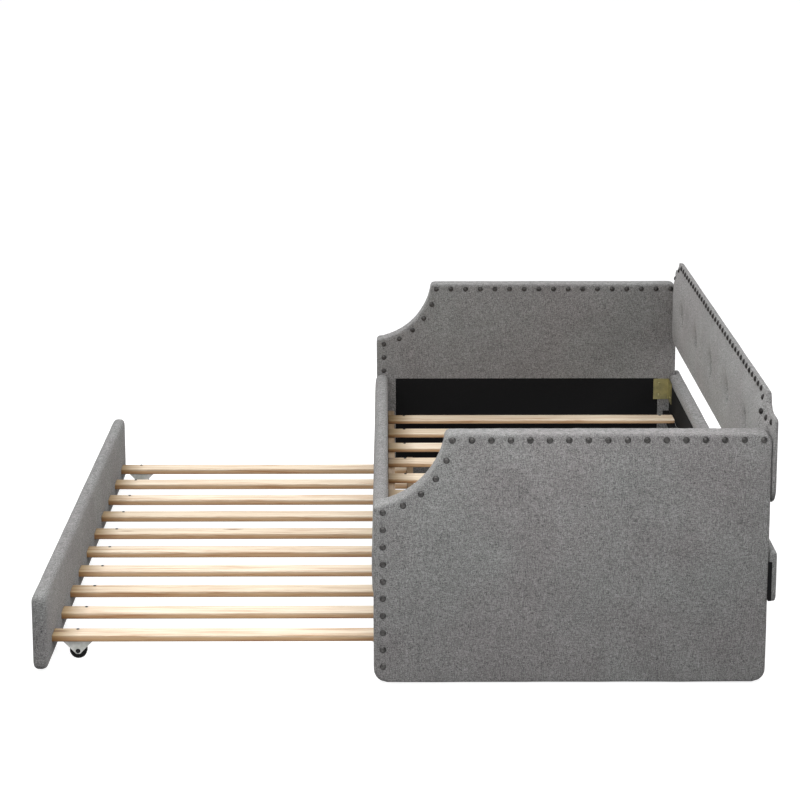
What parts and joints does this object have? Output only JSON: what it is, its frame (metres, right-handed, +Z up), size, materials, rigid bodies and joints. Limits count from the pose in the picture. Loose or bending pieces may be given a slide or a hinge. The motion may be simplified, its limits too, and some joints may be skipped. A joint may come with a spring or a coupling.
{
  "type": "trundle bed",
  "caption": "Upholstered daybed frame with scooped slab arms, a button-tufted back panel, slatted deck and a slatted trundle that rolls out on fixed casters.",
  "frame": {"origin": "on the floor under the middle of the bounding box, with the trundle rolled out", "axes": "+Z up, X along the length of the bed, +Y towards the back panel"},
  "size_m": [2.07, 1.999, 0.778],
  "materials": {
    "upholstery": "grey tweed upholstery",
    "lining": "black non-woven dust cover",
    "board": "raw plywood",
    "pine": "planed pine, clear sealed",
    "zinc_yellow": "yellow zinc plate",
    "caster_steel": "pale zinc plate",
    "black_plastic": "satin black",
    "wheel_tyre": "satin black",
    "nail_bronze": "dark bronzed steel nailheads"
  },
  "bodies": {
    "daybed": {"back_panel_board": "upholstery", "back_panel_pad": "upholstery", "back_rail": "upholstery", "back_rail_lining": "lining", "back_slat_ledger": "lining", "front_rail": "upholstery", "front_slat_ledger": "pine", "left_arm_board": "board", "left_arm_cover": "upholstery", "left_arm_lining": "lining", "left_back_glide": "black_plastic", "left_corner_bracket": "zinc_yellow", "left_front_glide": "black_plastic", "main_slat_01": "pine", "main_slat_02": "pine", "main_slat_03": "pine", "main_slat_04": "pine", "main_slat_05": "pine", "main_slat_06": "pine", "main_slat_07": "pine", "main_slat_08": "pine", "main_slat_09": "pine", "main_slat_10": "pine", "right_arm_board": "board", "right_arm_cover": "upholstery", "right_arm_lining": "lining", "right_back_glide": "black_plastic", "right_corner_bracket": "zinc_yellow", "right_front_glide": "black_plastic", "tuft_button_1": "upholstery", "tuft_button_2": "upholstery", "tuft_button_3": "upholstery", "tuft_button_4": "upholstery", "tuft_button_5": "upholstery"},
    "trundle": {"front_left_caster_axle": "black_plastic", "front_left_caster_bracket": "caster_steel", "front_right_caster_axle": "black_plastic", "front_right_caster_bracket": "caster_steel", "rear_left_caster_axle": "black_plastic", "rear_left_caster_bracket": "caster_steel", "rear_right_caster_axle": "black_plastic", "rear_right_caster_bracket": "caster_steel", "trundle_front_panel": "upholstery", "trundle_rear_rail": "pine", "trundle_slat_01": "pine", "trundle_slat_02": "pine", "trundle_slat_03": "pine", "trundle_slat_04": "pine", "trundle_slat_05": "pine", "trundle_slat_06": "pine", "trundle_slat_07": "pine", "trundle_slat_08": "pine", "trundle_slat_09": "pine", "trundle_slat_10": "pine"},
    "front_left_wheel": {"front_left_wheel": "wheel_tyre"},
    "front_right_wheel": {"front_right_wheel": "wheel_tyre"},
    "rear_left_wheel": {"rear_left_wheel": "wheel_tyre"},
    "rear_right_wheel": {"rear_right_wheel": "wheel_tyre"}
  },
  "joints": [
    {"name": "trundle_slide", "type": "slide", "parent": "daybed", "child": "trundle", "axis": [0, 1, 0], "range_m": [-0.15, 0.923]},
    {"name": "front_left_wheel_spin", "type": "hinge", "parent": "trundle", "child": "front_left_wheel", "pos_m": [-0.8262, -0.8905, 0.024], "axis": [1, 0, 0], "continuous": true},
    {"name": "front_right_wheel_spin", "type": "hinge", "parent": "trundle", "child": "front_right_wheel", "pos_m": [0.8262, -0.8905, 0.024], "axis": [1, 0, 0], "continuous": true},
    {"name": "rear_left_wheel_spin", "type": "hinge", "parent": "trundle", "child": "rear_left_wheel", "pos_m": [-0.8262, -0.0385, 0.024], "axis": [1, 0, 0], "continuous": true},
    {"name": "rear_right_wheel_spin", "type": "hinge", "parent": "trundle", "child": "rear_right_wheel", "pos_m": [0.8262, -0.0385, 0.024], "axis": [1, 0, 0], "continuous": true}
  ],
  "couplings": [
    {"joint": "front_left_wheel_spin", "follows": "trundle_slide", "rad_per_m": -41.667},
    {"joint": "front_right_wheel_spin", "follows": "trundle_slide", "rad_per_m": -41.667},
    {"joint": "rear_left_wheel_spin", "follows": "trundle_slide", "rad_per_m": -41.667},
    {"joint": "rear_right_wheel_spin", "follows": "trundle_slide", "rad_per_m": -41.667}
  ]
}
